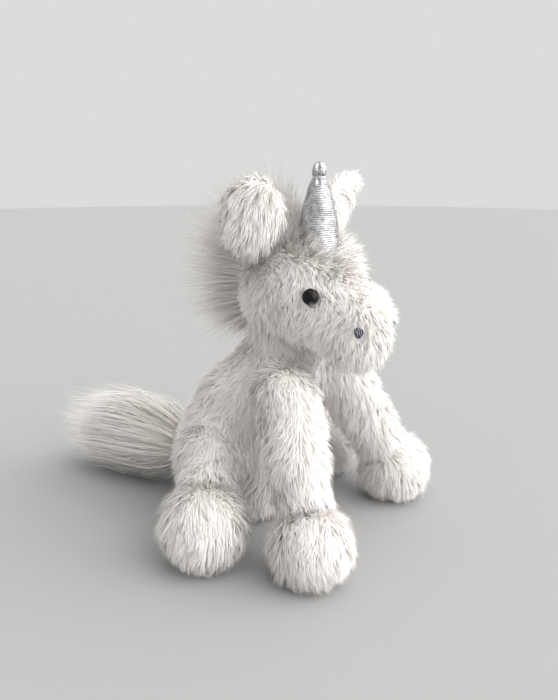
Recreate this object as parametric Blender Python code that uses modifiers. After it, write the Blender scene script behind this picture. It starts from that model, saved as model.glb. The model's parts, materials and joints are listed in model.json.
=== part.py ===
"""A seated plush unicorn, about 23 cm tall, in metres with +Z up.

It faces -Y, and its right side is -X. The origin is on the ground plane, at the middle of the
object's box. Every soft body has a sewn cover and a filling, and each limb hangs on a round
stuffed head that turns in a round opening in the cover it is sewn to.
"""

import math

import bmesh
import bpy
import numpy as np
from mathutils import Matrix, Vector
from mathutils.bvhtree import BVHTree

# Driving dimensions
WALL = 0.003  # pile fabric, its backing and its pressed pile
FIT_GAP = 0.0005  # between pieces that touch
FILL_INSET = WALL + 2 * FIT_GAP  # from a cover's outside to its filling
TURN_GAP = 0.0012  # round a limb's head in its opening
NECK_RADIUS = 0.0245
SHOULDER_RADIUS = 0.0195
HIP_RADIUS = 0.020
TAIL_KNUCKLE_RADIUS = 0.009
FORE_FOOT_RADIUS = 0.0235
HIND_FOOT_RADIUS = 0.0255
ANKLE_HOLE_RADIUS = 0.010
SKULL_RADIUS = 0.035
HEAD_TURN = math.radians(-12)  # the head looks a little to its right
EYE_RADIUS = 0.005
EYE_DEPTH = 0.0135  # from the eye's rim to the bottom of its pocket in the filling
HORN_BASE_RADIUS = 0.0126
BEAN_LEVEL = 0.022  # top of the bean bag in the seat

# Places in the toy's own frame, before the shift that puts its box's middle over the origin
NECK = Vector((0, -0.037, 0.126))
SHOULDER = Vector((0.036, -0.055, 0.098))
FORE_FOOT = Vector((0.064, -0.088, FORE_FOOT_RADIUS))
HIP = Vector((0.043, -0.004, 0.054))
HIND_FOOT = Vector((0.079, -0.024, HIND_FOOT_RADIUS))
TAIL_JOINT = Vector((0, 0.044, 0.034))
TAIL_END_Y = 0.168
BOX_MIDDLE_Y = (TAIL_END_Y + FORE_FOOT.y - FORE_FOOT_RADIUS) / 2

# Places in the head's frame, from the neck joint, with the face along -Y
SKULL = Vector((0, -0.0065, 0.031))
MUZZLE = SKULL + Vector((0, -0.043, -0.0180))
HORN_SEAT = SKULL + Vector((0, -0.017, 0.032))
EAR_SEAT = SKULL + Vector((0.0245, 0.002, 0.0275))
EYE_AIM = Vector((0.62, -0.78, 0.065))  # from the skull's middle
NOSTRIL_AIM = Vector((0.69, -0.70, 0.09))  # from the muzzle's middle

# Soft forms: (along, offset across, half width, half height) at even steps from pole to pole
TORSO_STATIONS = [
    (0.000, 0.002, 0.0000, 0.0000),
    (0.000, 0.002, 0.0320, 0.0340),
    (0.018, 0.002, 0.0425, 0.0455),
    (0.045, 0.001, 0.0435, 0.0465),
    (0.072, -0.006, 0.0405, 0.0420),
    (0.096, -0.019, 0.0365, 0.0365),
    (0.115, -0.031, 0.0290, 0.0285),
    (0.128, -0.036, 0.0170, 0.0170),
    (0.132, -0.037, 0.0000, 0.0000),
]
HEAD_STATIONS = [
    (-0.0350, 0.0020, 0.0000, 0.0000),
    (-0.0310, 0.0015, 0.0165, 0.0165),
    (-0.0180, 0.0010, 0.0295, 0.0295),
    (0.0030, 0.0000, SKULL_RADIUS, SKULL_RADIUS),
    (0.0230, -0.0015, 0.0325, 0.0320),
    (0.0370, -0.0110, 0.0275, 0.0275),
    (0.0490, -0.0175, 0.0255, 0.0250),
    (0.0610, -0.0185, 0.0190, 0.0195),
    (0.0670, -0.0185, 0.0000, 0.0000),
]
TAIL_STATIONS = [
    (0.0125, 0.000, 0.000, 0.000),
    (0.0165, 0.000, 0.015, 0.017),
    (0.0290, 0.000, 0.021, 0.024),
    (0.0510, 0.000, 0.024, 0.028),
    (0.0710, 0.000, 0.025, 0.029),
    (0.0910, 0.002, 0.021, 0.025),
    (0.1080, 0.007, 0.014, 0.017),
    (0.1190, 0.012, 0.007, 0.008),
    (TAIL_END_Y - TAIL_JOINT.y, 0.015, 0.000, 0.000),
]
# The mane: (angle above the backward line, radius from the skull's middle, half width, half height)
MANE_STATIONS = [
    (86, 0.0500, 0.000, 0.000),
    (77, 0.0550, 0.008, 0.0140),
    (57, 0.0620, 0.013, 0.0235),
    (34, 0.0680, 0.018, 0.0285),
    (10, 0.0700, 0.021, 0.0300),
    (-15, 0.0680, 0.019, 0.0270),
    (-34, 0.0640, 0.013, 0.0180),
    (-42, 0.0620, 0.000, 0.000),
]
MANE_BACKING_ANGLES = (80, -30)

# Half profiles: (radius, height) from the top down the outer side
FORELEG_SHAFT = [(0.0190, -0.018), (0.0180, -0.036), (0.0168, -0.056), (0.0160, -0.074)]
HINDLEG_SHAFT = [(0.0160, -0.0165), (0.0175, -0.027), (0.0170, -0.040)]
HORN_TIP = [(0.0012, 0.0455), (0.0032, 0.0447), (0.0046, 0.0425), (0.0046, 0.0400)]
HORN_CONE = [(0.0034, 0.0365), (0.0050, 0.0335), (0.0091, 0.0205), (0.0119, 0.0070)]
HORN_WALL = 0.0010

ROUND = 16  # segments round the head, neck, torso and openings
LIMB_ROUND = 12  # segments round a leg


# Scene, collections and materials


def clear_scene():
    for thing in list(bpy.data.objects):
        bpy.data.objects.remove(thing, do_unlink=True)


def new_collection(name):
    collection = bpy.data.collections.new(name)
    bpy.context.scene.collection.children.link(collection)
    return collection


def new_material(name, color, roughness, metallic=0.0):
    material = bpy.data.materials.new(name)
    material.use_nodes = True
    shader = material.node_tree.nodes["Principled BSDF"]
    shader.inputs["Base Color"].default_value = (*color, 1)
    shader.inputs["Roughness"].default_value = roughness
    shader.inputs["Metallic"].default_value = metallic
    material.diffuse_color = (*color, 1)
    return material


clear_scene()
PARTS = new_collection("plush_unicorn")
CUTTERS = new_collection("cutters")
CUTTERS.hide_render = True

FUR = new_material("cream_pile_fabric", (0.84, 0.80, 0.75), 0.95)
LONG_FUR = new_material("long_pile", (0.82, 0.78, 0.72), 0.85)
FILLING = new_material("polyester_filling", (0.92, 0.92, 0.90), 1.0)
BEANS = new_material("bean_pouch", (0.86, 0.84, 0.78), 0.8)
LAME = new_material("silver_lame", (0.62, 0.62, 0.63), 0.35, 0.8)
EYE_PLASTIC = new_material("black_plastic", (0.010, 0.010, 0.012), 0.08)
WASHER_PLASTIC = new_material("washer_plastic", (0.75, 0.75, 0.72), 0.5)
THREAD = new_material("navy_thread", (0.02, 0.022, 0.06), 0.6)
SILVER_THREAD = new_material("silver_thread", (0.55, 0.55, 0.56), 0.4, 0.7)


# Object helpers


def new_empty(name, place, parent, turn=0.0):
    """A joint's own frame: its parts hang under it, so it sits on the joint's axis."""
    empty = bpy.data.objects.new(name, None)
    empty.empty_display_size = 0.01
    empty.parent = parent
    empty.location = place
    empty.rotation_euler.z = turn
    PARTS.objects.link(empty)
    return empty


def new_object(name, bm, material, parent, collection=None):
    mesh = bpy.data.meshes.new(name)
    bmesh.ops.recalc_face_normals(bm, faces=bm.faces[:])
    bm.to_mesh(mesh)
    bm.free()
    mesh.shade_smooth()
    made = bpy.data.objects.new(name, mesh)
    made.parent = parent
    if material:
        mesh.materials.append(material)
    (collection or PARTS).objects.link(made)
    return made


def as_cutter(made):
    made.hide_render = True
    made.display_type = "WIRE"
    return made


def cut(made, *cutters):
    for cutter in cutters:
        boolean = made.modifiers.new("cut_" + cutter.name, "BOOLEAN")
        boolean.operation = "DIFFERENCE"
        boolean.solver = "EXACT"
        boolean.object = cutter


def add_wall(made, thickness=WALL):
    solidify = made.modifiers.new("wall", "SOLIDIFY")
    solidify.thickness = thickness
    solidify.offset = -1
    solidify.use_even_offset = True


def add_turn(made, steps):
    screw = made.modifiers.new("turn", "SCREW")
    screw.steps = steps
    screw.render_steps = steps
    screw.use_merge_vertices = True
    screw.merge_threshold = 0.00005
    screw.use_normal_calculate = False


def ball_cutter(name, radius, parent, place=(0, 0, 0)):
    bm = bmesh.new()
    bmesh.ops.create_uvsphere(bm, u_segments=ROUND, v_segments=10, radius=radius)
    made = new_object(name, bm, None, parent, CUTTERS)
    made.location = place
    return as_cutter(made)


def rod_cutter(name, radius, start, end, parent):
    """A cylinder between two points of the parent's frame."""
    bm = bmesh.new()
    bmesh.ops.create_cone(
        bm, cap_ends=True, segments=16, radius1=radius, radius2=radius, depth=(end - start).length
    )
    made = new_object(name, bm, None, parent, CUTTERS)
    made.location = (start + end) / 2
    made.rotation_mode = "QUATERNION"
    made.rotation_quaternion = (end - start).to_track_quat("Z", "Y")
    return as_cutter(made)


# Soft forms


def sampled(stations, share):
    """A smooth curve through the stations, at a share of the way from the first to the last."""
    rows = np.array(stations, float)
    at = min(max(share, 0.0), 1.0) * (len(rows) - 1)
    i = min(int(at), len(rows) - 2)
    t = at - i
    before = rows[max(i - 1, 0)]
    after = rows[min(i + 2, len(rows) - 1)]
    slope_a = (rows[i + 1] - before) / 2
    slope_b = (after - rows[i]) / 2
    return (
        (2 * t**3 - 3 * t**2 + 1) * rows[i]
        + (t**3 - 2 * t**2 + t) * slope_a
        + (3 * t**2 - 2 * t**3) * rows[i + 1]
        + (t**3 - t**2) * slope_b
    )


def formed_ball(stations, place, segments, rings, inset=0.0, floor=None):
    """A UV sphere whose rings are moved to the stations, then set in along its normals."""
    bm = bmesh.new()
    bmesh.ops.create_uvsphere(bm, u_segments=segments, v_segments=rings, radius=1)
    for vert in bm.verts:
        polar = math.acos(max(-1.0, min(1.0, vert.co.z)))
        along, offset, half_width, half_height = sampled(stations, 1 - polar / math.pi)
        spread = math.hypot(vert.co.x, vert.co.y) or 1
        side = vert.co.x / spread * half_width
        rise = vert.co.y / spread * half_height
        vert.co = place(along, offset, side, rise)
    bmesh.ops.recalc_face_normals(bm, faces=bm.faces[:])
    bm.normal_update()
    for vert in bm.verts:
        vert.co -= vert.normal * inset
    if floor is not None:
        for vert in bm.verts:
            vert.co.z = max(vert.co.z, floor)
    return bm


def upright(along, offset, side, rise):
    return Vector((side, offset + rise, along))


def facing(along, offset, side, rise):
    return SKULL + Vector((side, -along, offset + rise))


def rearward(along, offset, side, rise):
    return Vector((side, along, offset + rise))


def fanned(along, offset, side, rise):
    """The mane's form, bent round the skull: its stations run along an angle."""
    angle = math.radians(along)
    radius = offset + rise
    return SKULL + Vector((side, radius * math.cos(angle), radius * math.sin(angle)))


def torso_form(inset=0.0):
    return formed_ball(TORSO_STATIONS, upright, ROUND, 12, inset, floor=max(inset, 0.0))


def head_form(inset=0.0):
    return formed_ball(HEAD_STATIONS, facing, ROUND, 14, inset)


def ball_form(radius, segments, rings, floor=None, inset=0.0):
    bm = bmesh.new()
    bmesh.ops.create_uvsphere(bm, u_segments=segments, v_segments=rings, radius=radius - inset)
    if floor is not None:
        for vert in bm.verts:
            vert.co.z = max(vert.co.z, floor + inset)
    return bm


# Turned pieces


def profile_object(name, points, material, parent, steps=ROUND):
    """A profile at +X, turned about Z."""
    bm = bmesh.new()
    verts = [bm.verts.new((radius, 0, height)) for radius, height in points]
    for first, second in zip(verts, verts[1:]):
        bm.edges.new((first, second))
    made = new_object(name, bm, material, parent)
    add_turn(made, steps)
    return made


def head_arc(radius, first_angle, last_radius, steps):
    """Points down a round head, from an angle off its top to where its shaft's radius begins."""
    last_angle = math.pi - math.asin(last_radius / radius)
    points = []
    for i in range(steps + 1):
        angle = first_angle + (last_angle - first_angle) * i / steps
        points.append((radius * math.sin(angle), radius * math.cos(angle)))
    return points


def point_down(made, direction):
    """Turns a piece so that its own -Z lies along the direction."""
    made.rotation_mode = "QUATERNION"
    made.rotation_quaternion = (-direction).to_track_quat("Z", "Y")


def mirrored(point, side):
    return Vector((side * point.x, point.y, point.z))


# Torso, neck and tail


def build_torso(root, cutters):
    cover = new_object("torso_cover", torso_form(), FUR, root)
    add_wall(cover)
    cut(cover, *cutters)

    level = Vector((0, 0, BEAN_LEVEL))
    for name, material, outer in (
        ("torso_stuffing", FILLING, False),
        ("seat_bean_bag", BEANS, True),
    ):
        bm = torso_form(FILL_INSET)
        shift = -FIT_GAP if outer else FIT_GAP
        bmesh.ops.bisect_plane(
            bm,
            geom=bm.verts[:] + bm.edges[:] + bm.faces[:],
            plane_co=level + Vector((0, 0, shift)),
            plane_no=(0, 0, 1),
            clear_outer=outer,
            clear_inner=not outer,
        )
        bmesh.ops.holes_fill(bm, edges=bm.edges[:])
        made = new_object(name, bm, material, root)
        if not outer:
            cut(made, *cutters)


def build_neck(neck):
    """A round stuffed neck, open above and below where its filling runs through."""
    top_angle = math.radians(38)
    points = head_arc(NECK_RADIUS, top_angle, NECK_RADIUS * math.sin(top_angle), 7)
    cover = profile_object("neck_cover", points, FUR, neck)
    add_wall(cover)
    bm = ball_form(NECK_RADIUS, 12, 8, inset=FILL_INSET)
    new_object("neck_stuffing", bm, FILLING, neck)


def build_tail(tail):
    arc = [(0.0, TAIL_KNUCKLE_RADIUS)] + head_arc(TAIL_KNUCKLE_RADIUS, 0.5, 0.006, 5)
    shaft = [(0.006, -0.0118), (0.0, -0.0118)]
    tab = profile_object("tail_tab", arc + shaft, FUR, tail, 12)
    point_down(tab, Vector((0, 1, 0)))
    new_object("tail_pile", formed_ball(TAIL_STATIONS, rearward, 12, 16), LONG_FUR, tail)


# Head


def surface_point(tree, start, direction):
    """Where a ray from inside the head leaves it, and the face's normal there."""
    point, normal, _, _ = tree.ray_cast(start, direction.normalized())
    return point, normal


def build_eye(word, side, tree, head):
    aim = mirrored(EYE_AIM, side)
    point, normal = surface_point(tree, SKULL, aim)
    seat = point + normal * 0.0010
    dome = []
    for i in range(6):
        angle = math.pi / 2 * i / 5
        dome.append((EYE_RADIUS * math.sin(angle), 0.0042 * math.cos(angle)))
    post_end = -EYE_DEPTH + 0.0023
    back = [(0.0046, -0.0006), (0.0015, -0.0006), (0.0015, post_end), (0.0, post_end)]
    eye = profile_object("eye_" + word, dome + back, EYE_PLASTIC, head)

    ring = [(0.0019, -0.0070), (0.0050, -0.0070), (0.0050, -0.0082), (0.0019, -0.0082)]
    washer = profile_object("eye_washer_" + word, ring + ring[:1], WASHER_PLASTIC, head, 12)
    for made in (eye, washer):
        made.location = seat
        point_down(made, -normal)

    outside = seat + normal * 0.004
    hole_end = seat - normal * (EYE_DEPTH - 0.006)
    post_hole = rod_cutter("eye_post_hole_" + word, 0.0019, hole_end, outside, head)
    pocket_end = seat - normal * EYE_DEPTH
    pocket = rod_cutter("eye_pocket_" + word, 0.0060, pocket_end, outside, head)
    return post_hole, pocket


def build_nostril(word, side, tree, head):
    aim = mirrored(NOSTRIL_AIM, side).normalized()
    point, normal = surface_point(tree, MUZZLE, aim)
    bm = bmesh.new()
    bmesh.ops.create_uvsphere(bm, u_segments=12, v_segments=8, radius=1)
    bmesh.ops.scale(bm, verts=bm.verts[:], vec=(0.0030, 0.0038, 0.0011))
    pad = new_object("nostril_stitch_" + word, bm, THREAD, head)
    pad.location = point + normal * 0.0015
    point_down(pad, -normal)


def build_horn(head, clearance):
    lower = [(HORN_BASE_RADIUS, -0.005)]
    cover = profile_object("horn_cover", HORN_TIP + HORN_CONE + lower, LAME, head)
    add_wall(cover, HORN_WALL)
    inset = HORN_WALL + FIT_GAP
    core = [(0.0, HORN_CONE[1][1] - 0.001)]
    core += [(radius - inset, height) for radius, height in HORN_CONE[1:] + lower]
    filling = profile_object("horn_stuffing", core + [(0.0, lower[0][1])], FILLING, head, 12)

    bm = bmesh.new()
    binding_radius = HORN_CONE[0][0] + FIT_GAP + 0.0007
    section = [(0.0007 * math.cos(a), 0.0007 * math.sin(a)) for a in np.linspace(0, -2 * math.pi, 7)]
    verts = [bm.verts.new((binding_radius + x, 0, z)) for x, z in section[:-1]]
    for first, second in zip(verts, verts[1:] + verts[:1]):
        bm.edges.new((first, second))
    binding = new_object("horn_tip_binding", bm, SILVER_THREAD, head)
    add_turn(binding, ROUND)
    for made in (cover, filling, binding):
        made.location = HORN_SEAT
    binding.location.z += HORN_CONE[0][1]
    for made in (cover, filling):
        cut(made, clearance)


def build_mane(head, clearance):
    """A backing strip sewn down the head's middle, and the long pile that stands out of it."""
    first, last = MANE_BACKING_ANGLES
    bm = bmesh.new()
    bmesh.ops.create_grid(bm, x_segments=1, y_segments=10, size=1)
    for vert in bm.verts:
        angle = math.radians(last + (first - last) * (vert.co.y + 1) / 2)
        radius = SKULL_RADIUS + 0.0022
        reach = Vector((0, math.cos(angle), math.sin(angle))) * radius
        vert.co = SKULL + reach + Vector((vert.co.x * 0.006, 0, 0))
    backing = new_object("mane_backing", bm, FUR, head)
    add_wall(backing, 0.0012)
    backing.modifiers["wall"].offset = 0
    cut(backing, clearance)
    bm = formed_ball(MANE_STATIONS, fanned, 12, 14)
    pile = new_object("mane_pile", bm, LONG_FUR, head)
    skirt = ball_cutter("mane_clearance", SKULL_RADIUS + 0.0036, head, SKULL)
    cut(pile, skirt)


def build_head(head, neck_socket):
    clearance = as_cutter(new_object("head_clearance", head_form(-FIT_GAP), None, head, CUTTERS))
    form = head_form()
    tree = BVHTree.FromBMesh(form)
    cover = new_object("head_cover", form, FUR, head)
    add_wall(cover)
    stuffing = new_object("head_stuffing", head_form(FILL_INSET), FILLING, head)
    cut(cover, neck_socket)
    cut(stuffing, neck_socket)
    for word, side in (("right", -1), ("left", 1)):
        post, pocket = build_eye(word, side, tree, head)
        cut(cover, post)
        cut(stuffing, pocket)
        build_nostril(word, side, tree, head)
    build_horn(head, clearance)
    build_mane(head, clearance)


def build_ear(word, side, ear):
    """A flat floppy ear of two sewn panels, folded forward at its top."""
    half_width, half_height, half_depth = 0.0185, 0.0225, 0.0070
    lean = Matrix.Rotation(side * math.radians(30), 3, "Y")
    turn = Matrix.Rotation(side * math.radians(28), 3, "Z")
    for panel, forward in (("back", False), ("lining", True)):
        bm = bmesh.new()
        bmesh.ops.create_uvsphere(bm, u_segments=16, v_segments=10, radius=1)
        bmesh.ops.scale(bm, verts=bm.verts[:], vec=(half_width, half_depth, half_height))
        away = -1 if forward else 1
        for vert in bm.verts:
            vert.co.y = away * (max(vert.co.y * away, 0.0) + FIT_GAP / 2)
        for vert in bm.verts:
            height = vert.co.z / half_height
            if height > 0:
                vert.co.y -= 0.008 * height**2
            vert.co.z += half_height + 0.002
            vert.co = lean @ (turn @ vert.co)
        new_object("ear_" + word + "_" + panel, bm, FUR, ear)


# Legs


def build_leg(name, foot, joint, radius, shaft, foot_radius):
    """A stuffed leg from its round head at the joint to its foot, and the foot sewn to it."""
    direction = foot.normalized()
    steps = 4
    arc = head_arc(radius, 0.0, shaft[0][0], steps)
    cover = profile_object(name + "_cover", arc + shaft, FUR, joint, LIMB_ROUND)
    add_wall(cover)

    inset = FILL_INSET
    inner_arc = head_arc(radius - inset, 0.0, shaft[0][0] - inset, steps)
    inner = inner_arc + [(r - inset, height) for r, height in shaft]
    inner.append((0.0, shaft[-1][1]))
    stuffing = profile_object(name + "_stuffing", inner, FILLING, joint, LIMB_ROUND)
    for made in (cover, stuffing):
        point_down(made, direction)

    ankle = ball_cutter(name + "_ankle", foot_radius + FIT_GAP * 1.6, joint, foot)
    cut(cover, ankle)
    cut(stuffing, ankle)

    floor = -foot_radius
    foot_cover = new_object(
        name + "_foot_cover", ball_form(foot_radius, LIMB_ROUND, 10, floor * 0.93), FUR, joint
    )
    foot_cover.location = foot + Vector((0, 0, floor * 0.07))
    add_wall(foot_cover)
    above = foot - direction * foot_radius * 1.4
    below = foot - direction * 0.004
    hole = rod_cutter(name + "_ankle_hole", ANKLE_HOLE_RADIUS, above, below, joint)
    cut(foot_cover, hole)

    pouch = ball_form(foot_radius, LIMB_ROUND, 8, floor * 0.93, inset=FILL_INSET)
    beans = new_object(name + "_foot_beans", pouch, BEANS, joint)
    beans.location = foot_cover.location


# Assembly


def build_unicorn():
    root = new_empty("unicorn_origin", (0, -BOX_MIDDLE_Y, 0), None)
    neck = new_empty("neck_turn_axis", NECK, root)
    head = new_empty("head_nod_axis", (0, 0, 0), neck, HEAD_TURN)
    tail = new_empty("tail_swing_axis", TAIL_JOINT, root)

    neck_socket = ball_cutter("neck_socket", NECK_RADIUS + TURN_GAP, neck)
    tail_socket = ball_cutter("tail_socket", TAIL_KNUCKLE_RADIUS + TURN_GAP, tail)
    torso_cutters = [neck_socket, tail_socket]
    for word, side in (("right", -1), ("left", 1)):
        shoulder = new_empty("foreleg_" + word + "_swing_axis", mirrored(SHOULDER, side), root)
        hip = new_empty("hindleg_" + word + "_swing_axis", mirrored(HIP, side), root)
        torso_cutters.append(ball_cutter("shoulder_socket_" + word, SHOULDER_RADIUS + TURN_GAP, shoulder))
        torso_cutters.append(ball_cutter("hip_socket_" + word, HIP_RADIUS + TURN_GAP, hip))
        foot = mirrored(FORE_FOOT - SHOULDER, side)
        build_leg("foreleg_" + word, foot, shoulder, SHOULDER_RADIUS, FORELEG_SHAFT, FORE_FOOT_RADIUS)
        foot = mirrored(HIND_FOOT - HIP, side)
        build_leg("hindleg_" + word, foot, hip, HIP_RADIUS, HINDLEG_SHAFT, HIND_FOOT_RADIUS)
        ear = new_empty("ear_" + word + "_flop_axis", mirrored(EAR_SEAT, side), head)
        build_ear(word, side, ear)
    build_torso(root, torso_cutters)
    build_neck(neck)
    build_head(head, neck_socket)
    build_tail(tail)


build_unicorn()
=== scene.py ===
"""The looks of a seated plush unicorn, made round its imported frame: metres, +Z up, facing -Y."""

import json
import math

import bmesh
import bpy
import numpy as np
from mathutils import Matrix, Vector
from mathutils.bvhtree import BVHTree
from mathutils.kdtree import KDTree


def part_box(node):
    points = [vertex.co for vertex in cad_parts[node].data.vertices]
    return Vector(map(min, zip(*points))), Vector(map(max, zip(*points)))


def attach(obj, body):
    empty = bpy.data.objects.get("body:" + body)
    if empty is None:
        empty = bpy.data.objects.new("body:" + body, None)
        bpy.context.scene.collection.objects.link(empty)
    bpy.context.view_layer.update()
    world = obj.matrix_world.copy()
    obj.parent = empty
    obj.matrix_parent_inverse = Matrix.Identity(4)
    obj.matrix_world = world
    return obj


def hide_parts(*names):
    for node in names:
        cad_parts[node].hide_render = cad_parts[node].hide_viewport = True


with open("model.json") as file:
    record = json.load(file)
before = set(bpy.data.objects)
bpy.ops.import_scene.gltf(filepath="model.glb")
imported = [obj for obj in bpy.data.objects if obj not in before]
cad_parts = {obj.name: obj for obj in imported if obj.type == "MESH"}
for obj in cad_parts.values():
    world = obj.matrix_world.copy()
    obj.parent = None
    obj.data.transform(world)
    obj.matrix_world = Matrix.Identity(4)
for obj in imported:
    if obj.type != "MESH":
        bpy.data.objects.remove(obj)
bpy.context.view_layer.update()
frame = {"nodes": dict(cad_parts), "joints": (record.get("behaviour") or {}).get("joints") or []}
scene = bpy.context.scene
nodes = frame["nodes"]
JOINTS = {joint["name"]: Vector(joint["pos_m"]) for joint in frame["joints"]}

# Measures that the frame doesn't say, in metres
NECK = JOINTS["neck_turn"]
HEAD_TURN = Matrix.Rotation(math.radians(-12), 3, "Z")
SKULL_AT = (0, -0.0065, 0.031)  # in the head's own frame
SKULL_RADIUS = 0.035
EYE_RADIUS = 0.005
EYE_DOME = 0.0042  # the height of an eye above its rim
SIDES = {"right": -1, "left": 1}


def head_point(x, y, z):
    """A place in the head's own frame, which starts at the neck joint, in the row frame."""
    return NECK + HEAD_TURN @ Vector((x, y, z))


SKULL = head_point(*SKULL_AT)
MUZZLE = head_point(0, -0.0495, 0.013)
HORN_SEAT = head_point(0, -0.0235, 0.063)
FORWARD = HEAD_TURN @ Vector((0, -1, 0))
LEFTWARD = HEAD_TURN @ Vector((1, 0, 0))


# Camera, light and floor

CAMERA_PLACE = (-0.4032, -0.2910, 0.2400)
CAMERA_TILT = 75  # degrees up from looking straight down
CAMERA_TURN = -60  # degrees round +Z from looking along +Y
LENS_MM = 38.06
SENSOR_MM = 36
SKY_COLOR = (0.76, 0.755, 0.75)
SKY_STRENGTH = 0.95
FLOOR_RADIUS = 3.0


def add_camera():
    data = bpy.data.cameras.new("camera")
    data.sensor_width = SENSOR_MM
    data.lens = LENS_MM
    camera = bpy.data.objects.new("camera", data)
    camera.location = CAMERA_PLACE
    camera.rotation_euler = (math.radians(CAMERA_TILT), 0, math.radians(CAMERA_TURN))
    scene.collection.objects.link(camera)
    scene.camera = camera


def add_light(name, place, spread, strength, color):
    """A far, soft light from the side that the place is on. The spread is in degrees."""
    data = bpy.data.lights.new(name, "SUN")
    data.angle = math.radians(spread)
    data.energy = strength
    data.color = color
    light = bpy.data.objects.new(name, data)
    light.location = place
    aim = -Vector(place) + Vector((0, 0, 0.1))
    light.rotation_euler = aim.to_track_quat("-Z", "Y").to_euler()
    scene.collection.objects.link(light)


def add_studio():
    world = bpy.data.worlds.new("studio")
    world.use_nodes = True
    sky = world.node_tree.nodes["Background"]
    sky.inputs["Color"].default_value = (*SKY_COLOR, 1)
    sky.inputs["Strength"].default_value = SKY_STRENGTH
    scene.world = world
    scene.view_settings.view_transform = "Standard"
    add_light("key", (0.16, -1.00, 0.56), spread=80, strength=3.05, color=(1.0, 0.986, 0.968))
    add_light("top", (0.35, -0.60, 1.1), spread=100, strength=1.85, color=(1.0, 0.99, 0.98))

    bm = bmesh.new()
    bmesh.ops.create_circle(bm, cap_ends=True, segments=96, radius=FLOOR_RADIUS)
    floor = new_piece("floor", bm, [FLOOR])


# Materials


def new_material(name, color, roughness, metallic=0.0, sheen=0.0, specular=0.5):
    material = bpy.data.materials.new(name)
    material.use_nodes = True
    shader = material.node_tree.nodes["Principled BSDF"]
    shader.inputs["Base Color"].default_value = (*color, 1)
    shader.inputs["Roughness"].default_value = roughness
    shader.inputs["Metallic"].default_value = metallic
    shader.inputs["Sheen Weight"].default_value = sheen
    shader.inputs["Specular IOR Level"].default_value = specular
    material.diffuse_color = (*color, 1)
    return material


def noise_node(material, scale, detail=3.0):
    tree = material.node_tree
    place = tree.nodes.new("ShaderNodeTexCoord")
    noise = tree.nodes.new("ShaderNodeTexNoise")
    noise.inputs["Scale"].default_value = scale
    noise.inputs["Detail"].default_value = detail
    tree.links.new(place.outputs["Object"], noise.inputs["Vector"])
    return noise


def ramp_from(material, source, stops):
    tree = material.node_tree
    ramp = tree.nodes.new("ShaderNodeValToRGB")
    while len(ramp.color_ramp.elements) < len(stops):
        ramp.color_ramp.elements.new(0.5)
    for element, (position, color) in zip(ramp.color_ramp.elements, stops):
        element.position = position
        element.color = (*color, 1)
    tree.links.new(source, ramp.inputs["Fac"])
    return ramp.outputs["Color"]


def vary_color(material, scale, low, high):
    noise = noise_node(material, scale)
    color = ramp_from(material, noise.outputs["Fac"], [(0.35, low), (0.65, high)])
    shader = material.node_tree.nodes["Principled BSDF"]
    material.node_tree.links.new(color, shader.inputs["Base Color"])


def vary_roughness(material, scale, low, high):
    noise = noise_node(material, scale)
    grey = ramp_from(material, noise.outputs["Fac"], [(0.3, (low,) * 3), (0.7, (high,) * 3)])
    shader = material.node_tree.nodes["Principled BSDF"]
    material.node_tree.links.new(grey, shader.inputs["Roughness"])


def add_bump(material, source, distance):
    tree = material.node_tree
    bump = tree.nodes.new("ShaderNodeBump")
    bump.inputs["Distance"].default_value = distance
    bump.inputs["Strength"].default_value = 1.0
    tree.links.new(source, bump.inputs["Height"])
    tree.links.new(bump.outputs["Normal"], tree.nodes["Principled BSDF"].inputs["Normal"])


def fibre_material(name, color, roughness=0.62, sheen=0.3):
    """One tone of pile: the tones are mixed strand by strand, so each has one colour."""
    material = new_material(name, color, roughness, sheen=sheen, specular=0.25)
    vary_roughness(material, 900, roughness - 0.1, roughness + 0.12)
    return material


def knit_material(name, low, high):
    """The backing the pile is knitted into."""
    material = new_material(name, low, 0.9, sheen=0.4, specular=0.2)
    vary_color(material, 140, low, high)
    fine = noise_node(material, 1600, detail=2.0)
    add_bump(material, fine.outputs["Fac"], distance=0.0003)
    return material


def filling_material(name, low, high, scale):
    """Matted fibre, or the cloth of a pouch, with patches of the scale and finer fibres on it."""
    material = new_material(name, low, 0.95, sheen=0.3, specular=0.2)
    vary_color(material, scale, low, high)
    fibres = noise_node(material, scale * 6, detail=6.0)
    add_bump(material, fibres.outputs["Fac"], distance=0.0006)
    return material


def metal_cloth():
    """The horn's silver cloth: worn and bright patches over a woven grain."""
    material = new_material("silver_lame", (0.44, 0.44, 0.45), 0.34, metallic=0.95, specular=0.5)
    vary_color(material, 380, (0.27, 0.27, 0.29), (0.58, 0.58, 0.59))
    vary_roughness(material, 500, 0.28, 0.48)
    grain = noise_node(material, 2600, detail=2.0)
    add_bump(material, grain.outputs["Fac"], distance=0.00006)
    return material


def plastic_material(name, color, roughness, specular=0.5):
    """Moulded plastic of one colour, its polish a little uneven."""
    material = new_material(name, color, roughness, specular=specular)
    vary_roughness(material, 300, roughness * 0.8, roughness * 1.3)
    return material


def thread_material(name, low, high, metallic=0.0):
    material = new_material(name, low, 0.5, metallic=metallic, sheen=0.2)
    vary_color(material, 2200, low, high)
    return material


FLOOR = new_material("pale_floor", (0.375, 0.375, 0.375), 0.7, specular=0.15)
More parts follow.
